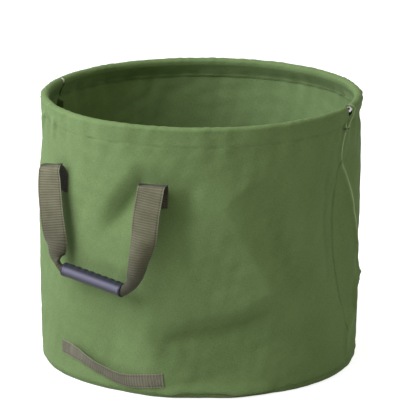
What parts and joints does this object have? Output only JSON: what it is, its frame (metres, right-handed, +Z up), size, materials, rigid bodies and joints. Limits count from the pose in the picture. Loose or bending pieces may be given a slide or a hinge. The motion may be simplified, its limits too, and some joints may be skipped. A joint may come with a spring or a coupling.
{
  "type": "garden waste bag",
  "caption": "Round open-topped canvas garden waste bag with a hooped rim, two swinging carry handles on tube grips and a low emptying handle.",
  "frame": {"origin": "centre of the bag's underside, on the floor it stands on", "axes": "+Z up along the bag's axis, -Y towards the front carry handle and the base handle"},
  "size_m": [0.5603, 0.632, 0.4735],
  "materials": {
    "canvas": "matt coated canvas, mid green",
    "tape": "matt woven tape, dark green",
    "hoop": "off-white plastic tube",
    "thread": "green sewing thread",
    "dark_thread": "dark olive sewing thread",
    "webbing": "ribbed grey-green webbing",
    "base_webbing": "ribbed brown-green webbing",
    "grip": "satin black moulded plastic"
  },
  "bodies": {
    "bag": {"front_wall_panel": "canvas", "back_wall_panel": "canvas", "right_seam_binding": "tape", "left_seam_binding": "tape", "right_seam_bartack": "dark_thread", "left_seam_bartack": "dark_thread", "base_panel": "canvas", "base_seam_binding": "tape", "rim_hoop": "hoop", "hem_stitching": "thread", "base_stitching": "thread", "front_handle_left_end": "webbing", "front_handle_left_stitch": "dark_thread", "front_handle_right_end": "webbing", "front_handle_right_stitch": "dark_thread", "back_handle_left_end": "webbing", "back_handle_left_stitch": "dark_thread", "back_handle_right_end": "webbing", "back_handle_right_stitch": "dark_thread", "base_handle_left_end": "base_webbing", "base_handle_right_end": "base_webbing", "base_handle_left_stitch": "dark_thread", "base_handle_right_stitch": "dark_thread"},
    "front_handle": {"front_handle_webbing": "webbing"},
    "front_handle_grip": {"front_grip": "grip"},
    "back_handle": {"back_handle_webbing": "webbing"},
    "back_handle_grip": {"back_grip": "grip"},
    "base_handle": {"base_handle_webbing": "base_webbing"}
  },
  "joints": [
    {"name": "front_handle_swing", "type": "hinge", "parent": "bag", "child": "front_handle", "pos_m": [0, -0.27518, 0.3803], "axis": [-1, 0, 0], "range_deg": [0, 150]},
    {"name": "front_grip_spin", "type": "hinge", "parent": "front_handle", "child": "front_handle_grip", "pos_m": [0, -0.30363, 0.2018], "axis": [0.9925, 0, -0.1219], "continuous": true},
    {"name": "back_handle_swing", "type": "hinge", "parent": "bag", "child": "back_handle", "pos_m": [0, 0.27518, 0.3803], "axis": [1, 0, 0], "range_deg": [0, 150]},
    {"name": "back_grip_spin", "type": "hinge", "parent": "back_handle", "child": "back_handle_grip", "pos_m": [0, 0.30363, 0.2018], "axis": [-0.9925, 0, -0.1219], "continuous": true},
    {"name": "base_handle_lift", "type": "slide", "parent": "bag", "child": "base_handle", "axis": [0, -1, 0], "range_m": [0, 0.012]}
  ]
}
